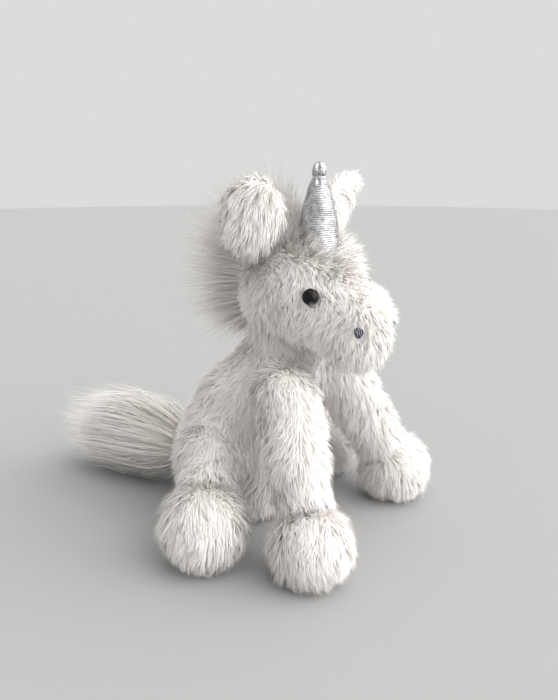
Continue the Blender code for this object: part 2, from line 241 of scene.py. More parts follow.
# Tones of the pile, from the root tone, warmer and darker as painted shade, to the bright tip tone,
# lighter as painted light: a strand's tones are numbers in these
PILE_TONES = [
    fibre_material("pile_root_painted_shade", (0.975, 0.93, 0.87)),
    fibre_material("pile_shade", (0.975, 0.945, 0.91)),
    fibre_material("pile_cream", (0.98, 0.958, 0.932)),
    fibre_material("pile_white", (0.99, 0.978, 0.962)),
]
# Tones of the long hair: the root tone, warmer and darker, is painted shade
LONG_TONES = [
    fibre_material("long_root_painted_shade", (0.95, 0.905, 0.84), sheen=0.6),
    fibre_material("long_shade", (0.96, 0.925, 0.88), sheen=0.6),
    fibre_material("long_cream", (0.975, 0.95, 0.915), sheen=0.6),
    fibre_material("long_white", (0.99, 0.975, 0.955), sheen=0.6),
]
BACKING = knit_material("pile_backing", (0.94, 0.90, 0.85), (0.98, 0.96, 0.93))
FILLING = filling_material("polyester_filling", (0.88, 0.88, 0.86), (0.96, 0.96, 0.95), 90)
POUCH = filling_material("bean_pouch", (0.80, 0.78, 0.72), (0.90, 0.88, 0.83), 220)
LAME = metal_cloth()
EYE_BLACK = plastic_material("eye_black", (0.004, 0.004, 0.005), 0.07, specular=0.22)
WASHER_WHITE = plastic_material("washer_white", (0.80, 0.80, 0.78), 0.42)
NAVY = thread_material("navy_thread", (0.010, 0.014, 0.045), (0.045, 0.055, 0.13))
SILVER_THREAD = thread_material("silver_thread", (0.48, 0.48, 0.50), (0.72, 0.72, 0.73), metallic=0.7)


# Mesh helpers


def new_piece(name, bm, materials):
    """A smooth-shaded object from the bmesh, which it frees."""
    mesh = bpy.data.meshes.new(name)
    bm.to_mesh(mesh)
    bm.free()
    mesh.shade_smooth()
    made = bpy.data.objects.new(name, mesh)
    for material in materials:
        mesh.materials.append(material)
    scene.collection.objects.link(made)
    return made


def coordinates(mesh):
    flat = np.empty(len(mesh.vertices) * 3)
    mesh.vertices.foreach_get("co", flat)
    return flat.reshape(-1, 3)


def vertex_normals(mesh):
    flat = np.empty(len(mesh.vertices) * 3)
    mesh.vertex_normals.foreach_get("vector", flat)
    return flat.reshape(-1, 3)


def set_coordinates(mesh, points):
    mesh.vertices.foreach_set("co", np.ascontiguousarray(points, dtype=np.float32).ravel())
    mesh.update()


def apply_modifiers(piece):
    graph = bpy.context.evaluated_depsgraph_get()
    mesh = bpy.data.meshes.new_from_object(piece.evaluated_get(graph), depsgraph=graph)
    old = piece.data
    piece.modifiers.clear()
    piece.data = mesh
    bpy.data.meshes.remove(old)
    mesh.name = piece.name


def unit(rows):
    return rows / np.maximum(np.linalg.norm(rows, axis=1, keepdims=True), 1e-9)


def tree_of(piece):
    bm = bmesh.new()
    bm.from_mesh(piece.data)
    tree = BVHTree.FromBMesh(bm)
    bm.free()
    return tree


def turned(name, profile, steps, place, direction, materials, shape=None):
    """A profile of (radius, height) turned about its own Z, which is then laid along the direction.

    The shape, if there is one, moves each point: it is given and returns a radius and a height.
    """
    bm = bmesh.new()
    turn = direction.to_track_quat("Z", "Y").to_matrix()
    rings = []
    for radius, height in profile:
        if radius < 1e-6:
            rings.append([bm.verts.new(place + turn @ Vector((0, 0, height)))])
            continue
        ring = []
        for i in range(steps):
            angle = 2 * math.pi * i / steps
            r, h = shape(radius, height, angle) if shape else (radius, height)
            beside = Vector((r * math.cos(angle), r * math.sin(angle), h))
            ring.append(bm.verts.new(place + turn @ beside))
        rings.append(ring)
    for a, b in zip(rings, rings[1:]):
        for i in range(steps):
            j = (i + 1) % steps
            corners = [a[i % len(a)], a[j % len(a)], b[j % len(b)], b[i % len(b)]]
            distinct = list(dict.fromkeys(corners))
            if len(distinct) > 2:
                bm.faces.new(distinct)
    bmesh.ops.recalc_face_normals(bm, faces=bm.faces[:])
    return new_piece(name, bm, materials)


# Skins: the sewn fabric forms that the pile grows from


def soft_form(name, node_names, balls, voxel, inset, smooth):
    """One soft form round its CAD nodes and the given balls, set in a little from both."""
    bm = bmesh.new()
    for node in node_names:
        bm.from_mesh(nodes[node].data)
    for place, radius in balls:
        matrix = Matrix.Translation(place)
        bmesh.ops.create_uvsphere(bm, u_segments=24, v_segments=16, radius=radius, matrix=matrix)
    piece = new_piece(name, bm, [])
    remesh = piece.modifiers.new("remesh", "REMESH")
    remesh.mode = "VOXEL"
    remesh.voxel_size = voxel
    soften = piece.modifiers.new("soften", "SMOOTH")
    soften.factor = 0.5
    soften.iterations = smooth
    apply_modifiers(piece)
    mesh = piece.data
    set_coordinates(mesh, coordinates(mesh) - vertex_normals(mesh) * inset)
    mesh.materials.clear()
    mesh.materials.append(BACKING)
    return piece


INFLATE_FRAMES = 20


def inflate(pieces, cap):
    """Fills the skins out with air pressure, each point moving no further than the cap."""
    before = {}
    for piece in pieces:
        before[piece.name] = coordinates(piece.data)
        cloth = piece.modifiers.new("cloth", "CLOTH")
        settings = cloth.settings
        settings.quality = 4
        settings.mass = 0.15
        settings.use_pressure = True
        settings.uniform_pressure_force = 4.0
        settings.tension_stiffness = 8
        settings.compression_stiffness = 8
        settings.effector_weights.gravity = 0
        cloth.point_cache.frame_start = 1
        cloth.point_cache.frame_end = INFLATE_FRAMES
    for number in range(1, INFLATE_FRAMES + 1):
        scene.frame_set(number)
    graph = bpy.context.evaluated_depsgraph_get()
    for piece in pieces:
        after = coordinates(piece.evaluated_get(graph).data)
        start = before[piece.name]
        move = after - start
        far = np.linalg.norm(move, axis=1, keepdims=True)
        move *= np.minimum(1.0, cap / np.maximum(far, 1e-9))
        piece.modifiers.clear()
        set_coordinates(piece.data, start + np.nan_to_num(move))
    scene.frame_set(1)


def add_subdivision(piece):
    subdivide = piece.modifiers.new("subdivide", "SUBSURF")
    subdivide.levels = 1
    subdivide.render_levels = 1
    apply_modifiers(piece)
    piece.data.shade_smooth()


def middle(node):
    """The mean of a turned node's points, which is on its axis."""
    return Vector(coordinates(nodes[node].data).mean(axis=0))


def eye_seat(word):
    """The foot of an eye's dome, and the way that the eye faces."""
    axis = (middle("eye_" + word) - middle("eye_washer_" + word)).normalized()
    points = coordinates(nodes["eye_" + word].data)
    top = (points @ np.array(axis)).max()
    on_axis = middle("eye_" + word)
    return on_axis + axis * (top - EYE_DOME - on_axis.dot(axis)), axis


def nostril_seat(word):
    """The middle of a nostril's flat pad, and the way that it faces."""
    points = coordinates(nodes["nostril_stitch_" + word].data)
    centre = points.mean(axis=0)
    _, _, rows = np.linalg.svd(points - centre, full_matrices=False)
    axis = Vector(rows[2])
    if axis.dot(Vector(centre) - MUZZLE) < 0:
        axis = -axis
    return Vector(centre), axis


EYES = {word: eye_seat(word) for word in SIDES}
NOSTRILS = {word: nostril_seat(word) for word in SIDES}

GROWN = 0.0015  # joint heads are this much larger in the body they hang from
# The radius of the round stuffed head that each body turns on
JOINT_HEADS = {
    "neck_turn": 0.0245,
    "foreleg_right_swing": 0.0195,
    "foreleg_left_swing": 0.0195,
    "hindleg_right_swing": 0.020,
    "hindleg_left_swing": 0.020,
    "tail_swing": 0.009,
}
EYE_BACKING = 0.007  # the radius of the ball that fills the skin out behind an eye
EYE_BACKING_DEPTH = 0.0085  # its middle is this far behind the foot of the eye's dome
INFLATED = 0.0012  # the most that air pressure moves a skin


def make_skins():
    made = {}
    heads = {joint: (JOINTS[joint], radius + GROWN) for joint, radius in JOINT_HEADS.items()}
    torso_nodes = ["torso_cover", "torso_stuffing", "seat_bean_bag"]
    made["torso"] = soft_form(
        "torso_skin", torso_nodes, list(heads.values()), voxel=0.0035, inset=0.0028, smooth=6
    )
    behind_eyes = [(seat - axis * EYE_BACKING_DEPTH, EYE_BACKING) for seat, axis in EYES.values()]
    made["head"] = soft_form(
        "head_skin", ["head_cover", "head_stuffing"], [heads["neck_turn"]] + behind_eyes,
        voxel=0.0033, inset=0.0024, smooth=5,
    )
    made["neck"] = soft_form(
        "neck_skin", ["neck_cover", "neck_stuffing"], [], voxel=0.0035, inset=0.0022, smooth=3
    )
    for word in SIDES:
        ear = "ear_" + word
        ear_nodes = [ear + "_back", ear + "_lining"]
        made[ear] = soft_form(ear + "_skin", ear_nodes, [], voxel=0.0018, inset=0.0006, smooth=4)
        for kind in ("foreleg", "hindleg"):
            leg = kind + "_" + word
            foot = leg + "_foot"
            leg_nodes = [leg + "_cover", leg + "_stuffing"]
            foot_nodes = [foot + "_cover", foot + "_beans"]
            made[leg] = soft_form(leg + "_skin", leg_nodes, [], voxel=0.0033, inset=0.0024, smooth=4)
            made[foot] = soft_form(foot + "_skin", foot_nodes, [], voxel=0.0033, inset=0.0026, smooth=4)
    return made


skins = make_skins()
inflate([skins[key] for key in skins if not key.startswith("ear")], INFLATED)
for skin in skins.values():
    add_subdivision(skin)
trees = {key: tree_of(skin) for key, skin in skins.items()}


def body_of(key):
    """The body that a skin rides: a foot's skin rides its leg."""
    return key.replace("_foot", "")


def settle_skins():
    covers = {key: [key + "_cover"] for key in ("torso", "head", "neck")}
    for word in SIDES:
        covers["ear_" + word] = ["ear_" + word + "_back", "ear_" + word + "_lining"]
        for kind in ("foreleg", "hindleg"):
            leg = kind + "_" + word
            covers[leg] = [leg + "_cover"]
            covers[leg + "_foot"] = [leg + "_foot_cover"]
    for key, skin in skins.items():
        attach(skin, body_of(key))
        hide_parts(*covers[key])


settle_skins()


# Pile


def roots_on(piece, per_mm2, rng):
    """Random points spread evenly over the piece's surface, and the smooth normals there."""
    mesh = piece.data
    mesh.calc_loop_triangles()
    corners = np.empty(len(mesh.loop_triangles) * 3, dtype=np.int64)
    mesh.loop_triangles.foreach_get("vertices", corners)
    corners = corners.reshape(-1, 3)
    points = coordinates(mesh)
    normals = vertex_normals(mesh)
    a, b, c = points[corners[:, 0]], points[corners[:, 1]], points[corners[:, 2]]
    areas = np.linalg.norm(np.cross(b - a, c - a), axis=1) / 2
    count = int(areas.sum() * 1e6 * per_mm2)
    chosen = rng.choice(len(areas), count, p=areas / areas.sum())
    u, v = rng.random(count), rng.random(count)
    over = u + v > 1
    u[over], v[over] = 1 - u[over], 1 - v[over]
    shares = np.stack([1 - u - v, u, v], axis=1)[:, :, None]
    where = (points[corners[chosen]] * shares).sum(axis=1)
    facing = unit((normals[corners[chosen]] * shares).sum(axis=1))
    return where, facing


def outside_of(points, keys, margin):
    """Which points are not deeper than the margin inside any of the named skins."""
    keep = np.ones(len(points), dtype=bool)
    for key in keys:
        tree = trees[key]
        box = coordinates(skins[key].data)
        low, high = box.min(axis=0), box.max(axis=0)
        near = np.all((points > low) & (points < high), axis=1) & keep
        for i in np.nonzero(near)[0]:
            place, normal, _, distance = tree.find_nearest(Vector(points[i]))
            if (Vector(points[i]) - place).dot(normal) < 0 and distance > margin:
                keep[i] = False
    return keep


def tangent(flow, normals):
    """The part of the flow that lies along the surface, one unit long."""
    flat = flow - (flow * normals).sum(axis=1, keepdims=True) * normals
    return unit(flat)


def nearest_clumps(points, centres):
    """The number of the centre that each point is nearest to."""
    tree = KDTree(len(centres))
    for i, centre in enumerate(centres):
        tree.insert(centre, i)
    tree.balance()
    return np.array([tree.find(p)[1] for p in points], dtype=np.int64)


def strand_mesh(name, paths, sides, widths, tones, materials, shading):
    """Tapered ribbons along the paths: (strand, step, xyz). The last step is a point."""
    count, steps, _ = paths.shape
    taper = np.array(widths)[None, :, None]
    left = paths[:, :-1] - sides[:, None, :] * taper
    right = paths[:, :-1] + sides[:, None, :] * taper
    pairs = np.stack([left, right], axis=2).reshape(count, (steps - 1) * 2, 3)
    verts = np.concatenate([pairs, paths[:, -1:]], axis=1)
    per = verts.shape[1]
    quads = [[2 * i, 2 * i + 1, 2 * i + 3, 2 * i + 2] for i in range(steps - 2)]
    loops = np.array(sum(quads, []) + [per - 3, per - 2, per - 1])
    starts = np.array([4 * i for i in range(len(quads) + 1)])
    sizes = np.array([4] * len(quads) + [3])
    mesh = bpy.data.meshes.new(name)
    mesh.vertices.add(count * per)
    mesh.vertices.foreach_set("co", verts.astype(np.float32).ravel())
    offsets = np.arange(count)[:, None]
    mesh.loops.add(count * len(loops))
    mesh.loops.foreach_set("vertex_index", (offsets * per + loops[None]).astype(np.int32).ravel())
    mesh.polygons.add(count * len(sizes))
    all_starts = offsets * len(loops) + starts[None]
    mesh.polygons.foreach_set("loop_start", all_starts.astype(np.int32).ravel())
    mesh.polygons.foreach_set("material_index", tones.astype(np.int32).ravel())
    mesh.update(calc_edges=True)
    for material in materials:
        mesh.materials.append(material)
    mesh.shade_smooth()
    soft = mesh.attributes.new("custom_normal", "FLOAT_VECTOR", "POINT")
    soft.data.foreach_set("vector", np.repeat(shading, per, axis=0).astype(np.float32).ravel())
    mesh.update()
    piece = bpy.data.objects.new(name, mesh)
    scene.collection.objects.link(piece)
    return piece


def pile_tones(clump_value, count, rng):
    """Tone of the root, middle and tip of each strand: the root takes the warm, darker tones as painted
    shade, the tip is brighter than the middle as painted light, and tones also differ at random by
    clump and strand.
    """
    value = clump_value * 0.7 + rng.random(count) * 0.6
    middle = np.where(value < 0.38, 1, np.where(value < 0.95, 2, 3))
    # painted light: the tip leans to the brighter tones
    tip = np.where(value < 0.2, 1, np.where(value < 0.5, 2, 3))
    # painted shade: six roots in ten take the warm root tone, the rest the shade tone
    root = np.where(rng.random(count) < 0.6, 0, 1)
    return np.stack([root, middle, tip], axis=1)


DENSITY = 1.9  # strands to a square millimetre
TORSO_DENSITY = 0.95
SOFTNESS = 0.9  # how far a strand takes the light as the form under it does
PILE_STEPS = np.array([0.0, 0.3, 0.65, 1.0])  # where a strand's points are along it
FINE = 12  # the steps that a strand's curve is summed over
SEAM_DEPTH = 0.003  # pile may start this far inside the skin beside it
ABOVE_GROUND = 0.0004  # the lowest that a strand of pile reaches
WAVE_COUNT = 7
HORN_CLEAR = 0.0088  # no pile starts this near the horn's axis
NOSTRIL_CLEAR = 0.0030
PILE_LENGTH = {
    "torso": 0.0092,
    "neck": 0.0085,
    "leg": 0.0105,
    "foot": 0.0118,
    "head": 0.0090,
    "ear": 0.0100,
}


def slow_waves(points, rng, wavelength):
    """A smooth random value over space, from about -1 to 1, with features of the wavelength."""
    total = np.zeros(len(points))
    for _ in range(WAVE_COUNT):
        way = unit(rng.normal(0, 1, (1, 3)))[0]
        pitch = 2 * math.pi / (wavelength * rng.uniform(0.7, 1.6))
        total += np.sin(points @ way * pitch + rng.uniform(0, 2 * math.pi))
    return total / 2.6


def grow_pile(
    name, where, facing, flow, length, rng, lift, clump_mm2=9.0, grip=0.22,
    width=0.00018, stray=0.0011, droop=0.08, swirl=0.18, waves=0.42, density=DENSITY,
):
    """Pile that rises from the skin and lies over along the flow, its tips drawn into locks.

    The lift is the strand's slope off the skin in degrees, at its root and at its tip.
    """
    count = len(where)
    clumps = max(8, int(count / (density * clump_mm2)))
    chosen = rng.choice(count, clumps, replace=False)
    which = nearest_clumps(where, where[chosen])

    turn = slow_waves(where, rng, 0.032) * waves
    turn += rng.normal(0, swirl, clumps)[which] + rng.normal(0, 0.16, count)
    side = np.cross(facing, flow)
    lean = flow * np.cos(turn)[:, None] + side * np.sin(turn)[:, None]
    clump_length = rng.uniform(0.80, 1.12, clumps)
    reach = length * clump_length[which] * rng.uniform(0.84, 1.06, count)
    rise = slow_waves(where, rng, 0.026) * 0.12
    rise += rng.normal(0, 0.10, clumps)[which] + rng.normal(0, 0.07, count)

    fine = np.linspace(0, 1, FINE + 1)[None, :]
    first = np.radians(np.broadcast_to(lift[0], count))[:, None]
    last = np.radians(np.broadcast_to(lift[1], count))[:, None]
    angle = first * (1 - fine) + last * fine + rise[:, None]
    up = np.cumsum(np.sin(angle), axis=1) / FINE
    out = np.cumsum(np.cos(angle), axis=1) / FINE
    up -= up[:, :1]
    out -= out[:, :1]
    picks = (PILE_STEPS * FINE).round().astype(int)
    up, out = up[:, picks], out[:, picks]
    share = PILE_STEPS[None, :, None]
    paths = where[:, None, :] + reach[:, None, None] * (
        up[:, :, None] * facing[:, None, :] + out[:, :, None] * lean[:, None, :]
    )
    paths += reach[:, None, None] * droop * share**2 * np.array([0, 0, -1.0])

    centre = paths[chosen][which]
    pull = grip * rng.uniform(0.35, 1.5, clumps)[which] * rng.uniform(0.8, 1.1, count)
    paths += (centre - paths) * np.minimum(pull[:, None, None] * share**1.3, 0.93)
    paths += rng.normal(0, stray, (count, 1, 3)) * share
    paths[:, :, 2] = np.maximum(paths[:, :, 2], ABOVE_GROUND)

    along = unit(paths[:, 2] - paths[:, 0])
    across = unit(np.cross(along, facing))
    lifted = np.cross(across, along)
    roll = rng.uniform(-0.8, 0.8, count)[:, None]
    sides = across * np.cos(roll) + lifted * np.sin(roll)
    tones = pile_tones(rng.random(clumps)[which], count, rng)
    widths = [width, width * 0.95, width * 0.65]
    shading = unit(facing * SOFTNESS + lifted * (1 - SOFTNESS) + rng.normal(0, 0.06, (count, 3)))
    return strand_mesh(name, paths, sides, widths, tones, PILE_TONES, shading)


def settle_pile(piece, body):
    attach(piece, body)


def as_rows(vector, count):
    return np.tile(np.array(vector, dtype=float), (count, 1))


def torso_pile():
    rng = np.random.default_rng(11)
    where, facing = roots_on(skins["torso"], TORSO_DENSITY, rng)
    keep = where[:, 2] > 0.0015
    keep &= outside_of(where, ["head"], SEAM_DEPTH)
    keep &= outside_of(where, [key for key in skins if "leg" in key], 2 * SEAM_DEPTH)
    where, facing = where[keep], facing[keep]
    radial = where - np.array([0, -0.035, 0])
    radial[:, 2] = 0
    flow = as_rows((0, 0.30, -1.0), len(where)) + unit(radial) * 0.45
    flow = tangent(flow, facing)
    piece = grow_pile(
        "torso_pile", where, facing, flow, PILE_LENGTH["torso"], rng,
        lift=(50, 10), width=0.00021, density=TORSO_DENSITY,
    )
    settle_pile(piece, "torso")


def neck_pile():
    rng = np.random.default_rng(13)
    where, facing = roots_on(skins["neck"], DENSITY, rng)
    keep = outside_of(where, ["torso", "head"], SEAM_DEPTH)
    where, facing = where[keep], facing[keep]
    flow = tangent(as_rows((0, 0, -1.0), len(where)), facing)
    piece = grow_pile("neck_pile", where, facing, flow, PILE_LENGTH["neck"], rng, lift=(60, 20))
    settle_pile(piece, "neck")


def leg_pile(kind, word):
    leg = kind + "_" + word
    rng = np.random.default_rng(21 + len(leg) * 7 + SIDES[word])
    joint = np.array(JOINTS[leg + "_swing"])
    low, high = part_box(leg + "_foot_cover")
    foot = np.array((low + high) / 2)
    along = foot - joint
    along /= np.linalg.norm(along)
    for key, other, length in (
        (leg, leg + "_foot", PILE_LENGTH["leg"]),
        (leg + "_foot", leg, PILE_LENGTH["foot"]),
    ):
        where, facing = roots_on(skins[key], DENSITY, rng)
        keep = outside_of(where, ["torso", other], SEAM_DEPTH)
        keep &= where[:, 2] > 0.0012
        where, facing = where[keep], facing[keep]
        flow = as_rows(along, len(where))
        lift = (54, 10)
        if key.endswith("_foot"):
            radial = where - (foot - along * 0.030)
            flow = flow * 0.5 + unit(radial)
            at_ankle = np.clip((foot - where) @ along / 0.020 - 0.5, 0, 1)
            lift = (54 + 14 * at_ankle, 4 + 16 * at_ankle)
        flow = flow + as_rows((0, 0, -0.35), len(where))
        flow = tangent(flow, facing)
        piece = grow_pile(
            key + "_pile", where, facing, flow, length, rng, lift=lift, clump_mm2=11, grip=0.28
        )
        settle_pile(piece, leg)


def beside_axes(points, seats):
    """How far each point is from the nearest of the seats' axes, on the seat's own side."""
    far = 1.0
    nearest = np.full(len(points), far)
    for place, axis in seats.values():
        away = points - np.array(place)
        along = away @ np.array(axis)
        beside = np.linalg.norm(away - along[:, None] * np.array(axis), axis=1)
        beside[along < -0.014] = far
        nearest = np.minimum(nearest, beside)
    return nearest


def head_pile():
    rng = np.random.default_rng(31)
    where, facing = roots_on(skins["head"], DENSITY, rng)
    keep = outside_of(where, ["torso"], 0.005)
    to_horn = where - np.array(HORN_SEAT)
    beside_horn = np.hypot(to_horn[:, 0], to_horn[:, 1])
    keep &= ~((beside_horn < HORN_CLEAR) & (to_horn[:, 2] > -0.02))
    from_eye = beside_axes(where, EYES)
    from_nostril = beside_axes(where, NOSTRILS)
    keep &= from_eye > EYE_RADIUS
    keep &= from_nostril > NOSTRIL_CLEAR
    where, facing = where[keep], facing[keep]
    from_eye, from_nostril = from_eye[keep], from_nostril[keep]
    beside_horn = beside_horn[keep]

    forward = np.array(FORWARD)
    relative = where - np.array(SKULL)
    ahead = relative @ forward
    height = relative[:, 2]
    on_muzzle = np.clip((ahead - 0.030) / 0.012, 0, 1)[:, None]
    brow = np.clip((height + 0.002) / 0.02, 0, 1)[:, None]
    side = relative @ np.array(LEFTWARD)
    outward = np.tanh(side / 0.012)[:, None] * np.array(LEFTWARD)[None, :]
    down = np.array([0, 0, -1.0])[None, :]
    skull_flow = forward[None, :] * (0.75 * brow - 0.15 * (1 - brow)) + down * 0.8 + outward * 0.25
    muzzle_flow = down + outward * 0.5 + forward[None, :] * 0.15
    flow = skull_flow * (1 - on_muzzle) + muzzle_flow * on_muzzle
    for point, _ in list(EYES.values()) + list(NOSTRILS.values()):
        away = where - np.array(point)
        distance = np.linalg.norm(away, axis=1)[:, None]
        flow = flow + unit(away) * np.clip((0.011 - distance) / 0.004, 0, 1) * 0.7
    flow = tangent(flow, facing)
    length = np.full(len(where), PILE_LENGTH["head"])
    length *= np.clip((from_eye - 0.002) / 0.009, 0.40, 1)
    length *= np.clip((from_nostril - 0.0005) / 0.008, 0.35, 1)
    at_horn = np.clip((0.023 - beside_horn) / 0.007, 0, 1) * np.clip(height / 0.015, 0, 1)
    length *= 1 + 0.85 * at_horn
    first = 54 + 30 * at_horn + 8 * on_muzzle[:, 0]
    last = 8 + 66 * at_horn + 14 * on_muzzle[:, 0]
    piece = grow_pile(
        "head_pile", where, facing, flow, length, rng, lift=(first, last), droop=0.05
    )
    settle_pile(piece, "head")


def ear_pile(word):
    rng = np.random.default_rng(41 + SIDES[word])
    ear = "ear_" + word
    where, facing = roots_on(skins[ear], DENSITY, rng)
    base = np.array(JOINTS[ear + "_flop"])
    radial = where - base
    inward = np.array(LEFTWARD) * -SIDES[word]
    high = np.clip((radial[:, 2] - 0.030) / 0.010, 0, 1)[:, None]
    flow = as_rows((0, 0, -1.0), len(where)) * (1 - high) - inward * 0.35
    flow = tangent(flow + unit(radial) * high * 0.8, facing)
    piece = grow_pile(
        ear + "_pile", where, facing, flow, PILE_LENGTH["ear"], rng,
        lift=(46, 6), clump_mm2=12, grip=0.35, droop=0.15,
    )
    settle_pile(piece, ear)


torso_pile()
neck_pile()
for side_word in SIDES:
    leg_pile("foreleg", side_word)
    leg_pile("hindleg", side_word)
    ear_pile(side_word)
head_pile()


# Mane and tail

MANE_STRANDS = 17000
MANE_LOCKS = 420
MANE_LOWEST, MANE_HIGHEST = -36, 86  # degrees round the back of the head, from level
MANE_STRIP = 0.0075  # half the width of the strip that the mane grows from
MANE_HALF_WIDTH = 0.00013  # of a strand, at its root
TAIL_STRANDS = 12000
TAIL_LOCKS = 260
TAIL_HALF_WIDTH = 0.00014
TAIL_ROOT = 0.019  # the radius that the tail's hair starts within
TAIL_JOINT = JOINTS["tail_swing"]


def long_tones(count, steps, rng):
    """Tone of each step of each strand: the warm, darker root tone as painted shade, a step between in
    one of the two middle tones, mostly darker than the rest as painted shade, then one tone to the tip,
    chosen at random.
    """
    value = rng.random(count)
    body = np.where(value < 0.22, 1, np.where(value < 0.7, 2, 3))
    tones = np.repeat(body[:, None], steps - 1, axis=1)
    # painted shade: the root step takes the warm root tone
    tones[:, 0] = 0
    tones[:, 1] = np.where(value < 0.6, 1, 2)
    return tones


def long_strands(name, paths, facing, width, rng):
    """Fine ribbons along the paths, each rolled its own way and lit as its place faces."""
    count, steps, _ = paths.shape
    along = unit(paths[:, -1] - paths[:, 0])
    across = unit(np.cross(along, facing))
    lifted = np.cross(across, along)
    roll = rng.uniform(-1.4, 1.4, count)[:, None]
    sides = across * np.cos(roll) + lifted * np.sin(roll)
    widths = width * np.linspace(1.0, 0.35, steps - 1)
    shading = unit(facing * SOFTNESS + lifted * (1 - SOFTNESS) + rng.normal(0, 0.10, (count, 3)))
    tones = long_tones(count, steps, rng)
    return strand_mesh(name, paths, sides, list(widths), tones, LONG_TONES, shading)


def to_row(points):
    """Rows of places in the head's own frame, as places in the row frame."""
    turn = np.array(HEAD_TURN)
    return points @ turn.T + np.array(NECK)


def make_mane():
    """Long straight hair from the strip down the back of the head, standing out and back."""
    rng = np.random.default_rng(51)
    count, steps = MANE_STRANDS, 6
    angle = np.radians(rng.uniform(MANE_LOWEST, MANE_HIGHEST, count))
    x = rng.normal(0, 0.0038, count).clip(-MANE_STRIP, MANE_STRIP)
    outward = np.stack([np.zeros(count), np.cos(angle), np.sin(angle)], axis=1)
    roots = np.array(SKULL_AT) + outward * (SKULL_RADIUS + 0.0005)
    roots[:, 0] += x
    share_up = (np.degrees(angle) - MANE_LOWEST) / (MANE_HIGHEST - MANE_LOWEST)
    stations = [0, 0.12, 0.4, 0.75, 0.93, 1.0]
    envelope = np.interp(share_up, stations, [0.040, 0.060, 0.074, 0.070, 0.050, 0.034])
    lock_of = rng.integers(0, MANE_LOCKS, count)
    order = np.argsort(angle)
    lock_of[order] = np.sort(lock_of)
    lock_turn = rng.normal(0, 0.13, MANE_LOCKS)
    lock_side = rng.normal(0, 0.26, MANE_LOCKS)
    lock_length = rng.uniform(0.50, 1.06, MANE_LOCKS)
    length = envelope * lock_length[lock_of] * rng.triangular(0.40, 0.85, 1.05, count)
    lean = angle * 0.86 + math.radians(3) + lock_turn[lock_of] + rng.normal(0, 0.07, count)
    sideways = (lock_side[lock_of] + x * 45 + rng.normal(0, 0.07, count)).clip(-0.62, 0.62)
    onward = np.cos(sideways)
    way = np.stack([np.sin(sideways), onward * np.cos(lean), onward * np.sin(lean)], axis=1)
    t = np.linspace(0, 1, steps)[None, :, None]
    bend = outward[:, None, :] * (1 - t) * 0.5 + way[:, None, :] * (0.5 + 0.5 * t)
    paths = roots[:, None, :] + length[:, None, None] * t * bend
    paths[:, :, 2] -= length[:, None] * 0.10 * t[:, :, 0] ** 2
    sidewards = np.sign(sideways)[:, None] * np.array([[1.0, 0, 0]])
    facing = unit(as_rows((0, 0.3, 0.6), count) + sidewards)
    facing = facing @ np.array(HEAD_TURN).T
    paths = to_row(paths.reshape(-1, 3)).reshape(paths.shape)
    piece = long_strands("mane_strands", paths, facing, MANE_HALF_WIDTH, rng)
    settle_pile(piece, "head")
    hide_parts("mane_pile")


def make_tail():
    """A short sewn stub, and long soft hair that runs out of it and rests on the ground."""
    low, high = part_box("tail_pile")
    start = np.array([TAIL_JOINT.x, low.y - 0.011, TAIL_JOINT.z])
    reach = high.y - start[1]
    outline = [
        (0, 0), (0.0065, 0.001), (0.0075, 0.010), (0.0072, 0.022),
        (0.0055, 0.034), (0.0025, 0.041), (0, 0.042),
    ]
    place = Vector(start) - Vector((0, 0.003, 0))
    stub = turned("tail_stub", outline, 20, place, Vector((0, 1, 0.03)), [BACKING])
    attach(stub, "tail")
    rng = np.random.default_rng(61)
    count, steps = TAIL_STRANDS, 8
    spread = np.sqrt(rng.random(count)) * rng.uniform(0.75, 1.0, count)
    around = rng.uniform(0, 2 * math.pi, count)
    lock = rng.integers(0, TAIL_LOCKS, count)
    lock_around = rng.uniform(0, 2 * math.pi, TAIL_LOCKS)
    lock_spread = np.sqrt(rng.random(TAIL_LOCKS))
    grip = 0.55
    u = spread * np.cos(around) * (1 - grip) + lock_spread[lock] * np.cos(lock_around[lock]) * grip
    v = spread * np.sin(around) * (1 - grip) + lock_spread[lock] * np.sin(lock_around[lock]) * grip
    u, v = u * 1.25, v * 1.25  # makes up for the width that drawing into locks takes off
    begin = rng.uniform(0, 0.34, count)
    finish = begin + rng.uniform(0.36, 0.72, count)
    finish = np.minimum(finish, rng.uniform(0.66, 1.05, count))
    t = np.linspace(0, 1, steps)[None, :]
    y = begin[:, None] + (finish - begin)[:, None] * t
    stations = [0, 0.05, 0.16, 0.34, 0.52, 0.70, 0.86, 1.05]
    half_width = np.interp(y, stations, [0.021, 0.023, 0.025, 0.0255, 0.026, 0.026, 0.025, 0.024])
    half_height = np.interp(y, stations, [0.026, 0.029, 0.031, 0.031, 0.030, 0.028, 0.026, 0.026])
    rise = np.interp(y, stations, [0, 0, 0, 0, 0, -0.002, -0.002, 0.002])
    grow = np.clip(t * 3.5, 0, 1) ** 0.7
    paths = np.empty((count, steps, 3))
    paths[:, :, 0] = u[:, None] * (TAIL_ROOT * (1 - grow) + half_width * grow)
    paths[:, :, 1] = start[1] + y * reach
    paths[:, :, 2] = start[2] + rise + v[:, None] * (TAIL_ROOT * (1 - grow) + half_height * grow)
    paths += rng.normal(0, 0.0026, (count, 1, 3)) * (t**2)[:, :, None]
    paths[:, :, 2] = np.maximum(paths[:, :, 2], 0.0006 + rng.random(count)[:, None] * 0.004)
    facing = np.stack([u, np.zeros(count), v + 0.3], axis=1)
    facing = unit(facing + rng.normal(0, 0.15, (count, 3)))
    piece = long_strands("tail_strands", paths, facing, TAIL_HALF_WIDTH, rng)
    settle_pile(piece, "tail")
    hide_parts("tail_pile")


make_mane()
make_tail()


# Horn, eyes and nostrils

